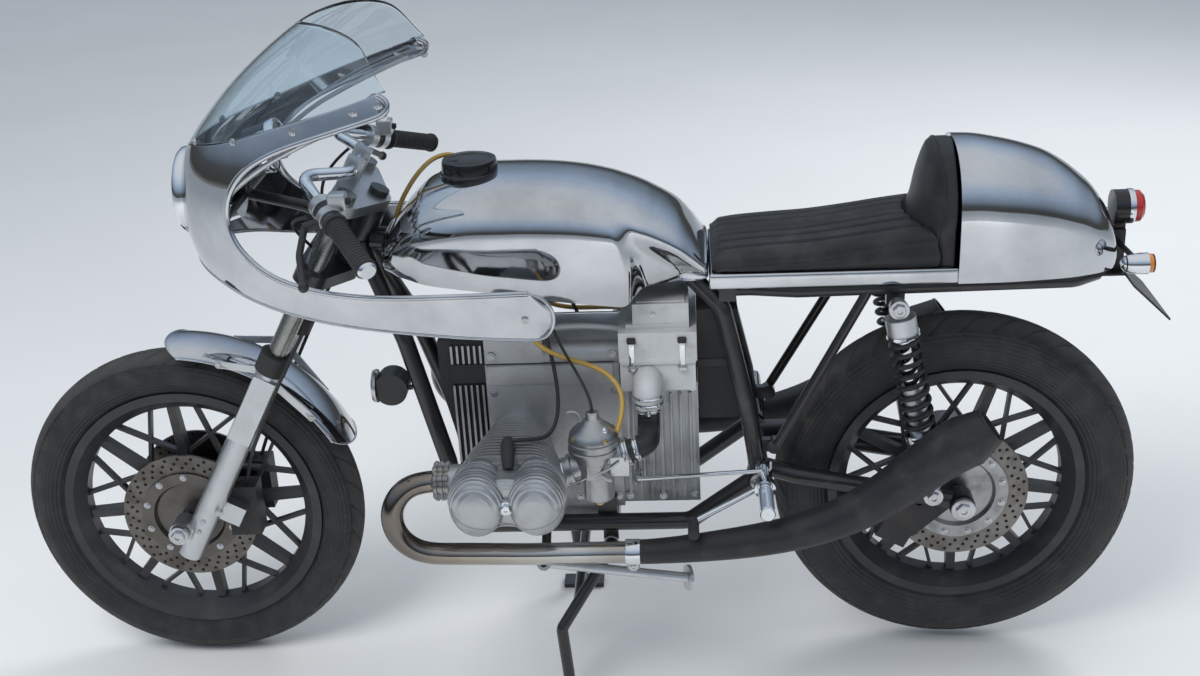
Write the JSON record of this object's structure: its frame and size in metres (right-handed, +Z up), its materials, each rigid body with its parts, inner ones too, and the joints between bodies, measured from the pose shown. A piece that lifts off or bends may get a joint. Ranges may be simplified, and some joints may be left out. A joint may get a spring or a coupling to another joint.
{
  "type": "cafe racer motorcycle",
  "caption": "Cafe racer motorcycle on its centre stand: polished half fairing with screen, humped tail, flat twin engine, steering fork, spinning wheels and folding stands.",
  "frame": {"origin": "centre of the bounding box on the floor, midway between the front of the front tyre and the tip of the number-plate bracket", "axes": "+X towards the tail, +Y towards the rider's right, +Z up from the floor"},
  "size_m": [2.143, 0.746, 1.276],
  "materials": {
    "tyre_rubber": "worn satin",
    "wheel_paint": "satin black",
    "disc_steel": "brushed",
    "chrome": "polished",
    "fork_alloy": "satin",
    "polished_alloy": "mirror polished",
    "cast_alloy": "cast, satin",
    "black_paint": "gloss black",
    "heat_paint": "matt black",
    "pipe_steel": "polished steel",
    "rubber_black": "matt",
    "black_leather": "semi gloss",
    "grey_plastic": "painted light grey",
    "black_plastic": "matt",
    "clear_screen": "clear, slightly blue",
    "lamp_glass": "clear",
    "red_lens": "clear red"
  },
  "bodies": {
    "chassis": {"main_frame": "black_paint", "swingarm": "black_paint", "final_drive": "cast_alloy", "rear_axle": "chrome", "rear_caliper": "heat_paint", "shock_bodies": "cast_alloy", "shock_springs": "black_paint", "rear_subframe": "black_paint", "engine_block": "cast_alloy", "front_cover": "heat_paint", "gearbox": "cast_alloy", "airbox": "grey_plastic", "cylinders": "cast_alloy", "cylinder_heads": "cast_alloy", "valve_covers": "cast_alloy", "carburettors": "cast_alloy", "intake_hoses": "rubber_black", "exhaust_headers": "pipe_steel", "silencers": "heat_paint", "fuel_tank": "polished_alloy", "filler_cap": "polished_alloy", "seat_base": "polished_alloy", "seat_pad": "black_leather", "hump_pad": "black_leather", "fairing": "polished_alloy", "windscreen": "clear_screen", "headlamp": "chrome", "headlamp_lens": "lamp_glass", "fairing_bracket": "black_paint", "tail_lamp": "chrome", "tail_lens": "red_lens", "plate_bracket": "black_plastic", "horn": "black_plastic", "battery_box": "black_plastic", "footrests": "chrome", "foot_levers": "chrome"},
    "steering": {"front_axle": "chrome", "fork_sliders": "fork_alloy", "fork_tubes": "chrome", "dust_covers": "rubber_black", "lower_yoke": "black_paint", "upper_yoke": "cast_alloy", "handlebar": "chrome", "grips": "rubber_black", "hand_levers": "cast_alloy", "front_mudguard": "polished_alloy", "front_calipers": "heat_paint"},
    "front_wheel": {"front_tyre": "tyre_rubber", "front_wheel": "wheel_paint", "front_discs": "disc_steel"},
    "rear_wheel": {"rear_tyre": "tyre_rubber", "rear_wheel": "wheel_paint", "rear_disc": "disc_steel"},
    "centre_stand": {"centre_stand": "black_paint"},
    "side_stand": {"side_stand": "cast_alloy"}
  },
  "joints": [
    {"name": "steering_turn", "type": "hinge", "parent": "chassis", "child": "steering", "pos_m": [-0.6766, 0, 0.29322], "axis": [0.4772, 0, 0.8788], "range_deg": [-24, 24]},
    {"name": "front_wheel_spin", "type": "hinge", "parent": "steering", "child": "front_wheel", "pos_m": [-0.7425, 0, 0.329], "axis": [0, 1, 0], "continuous": true},
    {"name": "rear_wheel_spin", "type": "hinge", "parent": "chassis", "child": "rear_wheel", "pos_m": [0.7225, 0, 0.353], "axis": [0, 1, 0], "continuous": true},
    {"name": "centre_stand_fold", "type": "hinge", "parent": "chassis", "child": "centre_stand", "pos_m": [0.075, 0, 0.288], "axis": [0, 1, 0], "range_deg": [-90, 0]},
    {"name": "side_stand_fold", "type": "hinge", "parent": "chassis", "child": "side_stand", "pos_m": [-0.045, -0.196, 0.296], "axis": [0.0315, 0.9341, -0.3556], "range_deg": [0, 90]}
  ]
}
